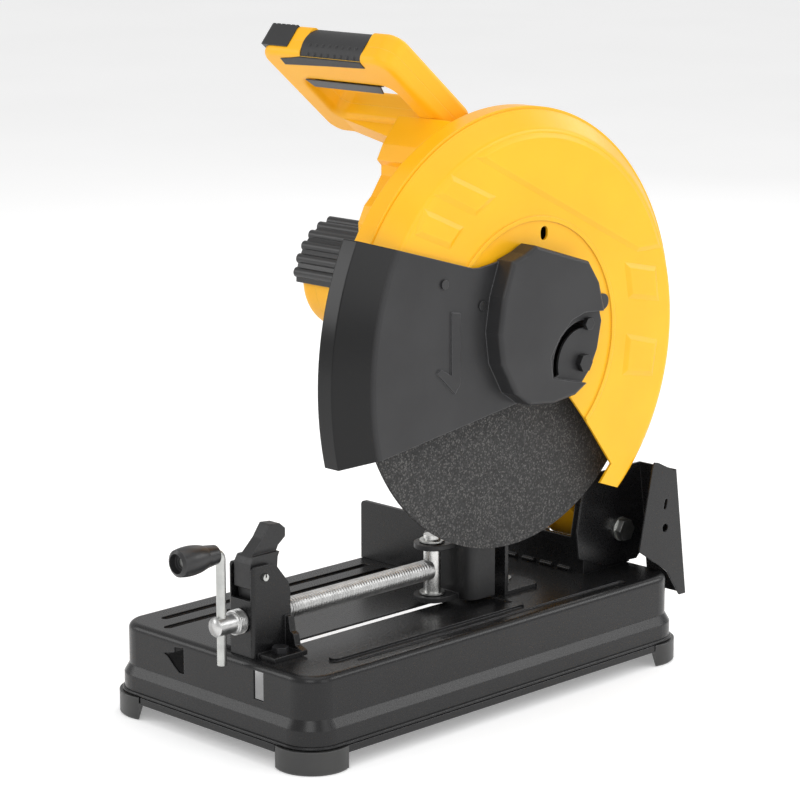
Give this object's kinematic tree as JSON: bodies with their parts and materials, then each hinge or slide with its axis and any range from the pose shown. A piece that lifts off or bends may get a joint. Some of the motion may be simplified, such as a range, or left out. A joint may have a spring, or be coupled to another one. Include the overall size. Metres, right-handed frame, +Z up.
{
  "type": "abrasive chop saw",
  "caption": "Abrasive chop saw: sprung motor head with guarded cut-off wheel over a pressed base with fence and screw vise.",
  "frame": {"origin": "centre of the base footprint at the level the feet stand on", "axes": "+X to the wheel side, +Y to the rear pivot, +Z up; the operator stands at -Y"},
  "size_m": [0.2705, 0.5425, 0.5758],
  "materials": {
    "yellow_casting": "satin",
    "black_sheet": "satin",
    "zinc": "satin",
    "black_rubber": "matte",
    "black_plastic": "matte",
    "cast_grey": "satin",
    "abrasive": "matte",
    "yellow_plastic": "satin",
    "copper_winding": "satin",
    "bare_aluminium": "satin",
    "black_guard": "satin"
  },
  "bodies": {
    "base": {"base_pan": "black_sheet", "feet": "black_rubber", "foot_screws": "zinc", "fence": "black_sheet", "fence_bolts": "zinc", "vise_bracket": "black_sheet", "bracket_bolts": "zinc", "lever_pin": "zinc", "pivot_bracket": "black_sheet", "pivot_shaft": "zinc", "stop_bolt": "zinc", "spark_deflector": "black_sheet", "deflector_washer": "zinc", "head_spring": "zinc"},
    "carriage": {"vise_pin": "zinc", "pin_clips": "zinc"},
    "jaw": {"jaw": "cast_grey"},
    "screw": {"vise_screw": "zinc", "screw_collar": "zinc", "crank_rod": "zinc"},
    "crank_grip": {"crank_grip": "black_plastic"},
    "release_lever": {"release_lever": "cast_grey"},
    "head": {"arm": "yellow_casting", "gear_plate": "bare_aluminium", "bearings": "zinc", "upper_guard": "yellow_casting", "guard_cover": "yellow_casting", "motor_housing": "yellow_plastic", "end_cap": "yellow_plastic", "vent_cover": "black_plastic", "brush_caps": "black_plastic", "field": "copper_winding", "guard_pivot_bolt": "zinc", "guard_stop_bolt": "zinc", "cover_knob": "black_plastic", "handle_upper": "yellow_plastic", "handle_lower": "yellow_plastic", "grip_sleeve": "black_rubber", "handle_cap": "black_plastic"},
    "rotor": {"gear": "zinc", "spindle": "zinc", "inner_flange": "zinc", "wheel": "abrasive", "outer_flange": "zinc", "arbor_bolt": "zinc"},
    "armature": {"armature": "zinc"},
    "front_guard": {"front_guard": "black_guard", "guard_screws": "zinc"},
    "trigger": {"trigger": "black_plastic"}
  },
  "joints": [
    {"name": "head_swing", "type": "hinge", "parent": "base", "child": "head", "pos_m": [0, 0.209, 0.114], "axis": [1, 0, 0], "range_deg": [-20, 15.4], "stiffness_Nm_per_rad": 36, "springref_deg": -24.06},
    {"name": "wheel_spin", "type": "hinge", "parent": "head", "child": "rotor", "pos_m": [0.07, 0.0525, 0.308], "axis": [1, 0, 0], "continuous": true},
    {"name": "armature_spin", "type": "hinge", "parent": "head", "child": "armature", "pos_m": [-0.06, 0.0525, 0.3425], "axis": [1, 0, 0], "continuous": true},
    {"name": "front_guard_swing", "type": "hinge", "parent": "head", "child": "front_guard", "pos_m": [0.103, 0.103, 0.2897], "axis": [1, 0, 0], "range_deg": [-103, 0]},
    {"name": "trigger_press", "type": "slide", "parent": "head", "child": "trigger", "axis": [0, -0.766, 0.6428], "range_m": [0, 0.004], "stiffness_N_per_m": 700, "springref_m": -0.002},
    {"name": "vise_slide", "type": "slide", "parent": "base", "child": "carriage", "axis": [0, 1, 0], "range_m": [-0.145, 0]},
    {"name": "screw_turn", "type": "hinge", "parent": "carriage", "child": "screw", "pos_m": [0.031, -0.1, 0.11], "axis": [0, 1, 0], "range_deg": [-17400, 0]},
    {"name": "jaw_swivel", "type": "hinge", "parent": "carriage", "child": "jaw", "pos_m": [0.031, 0.0026, 0.11], "axis": [0, 0, 1], "range_deg": [-10, 10]},
    {"name": "crank_grip_spin", "type": "hinge", "parent": "screw", "child": "crank_grip", "pos_m": [0.031, -0.27, 0.171], "axis": [0, 1, 0], "continuous": true},
    {"name": "release_lever_tilt", "type": "hinge", "parent": "base", "child": "release_lever", "pos_m": [0.031, -0.206, 0.147], "axis": [1, 0, 0], "range_deg": [0, 40]}
  ],
  "couplings": [
    {"joint": "armature_spin", "follows": "wheel_spin", "ratio": -4.75},
    {"joint": "vise_slide", "follows": "screw_turn", "m_per_rad": 0.00047746}
  ]
}
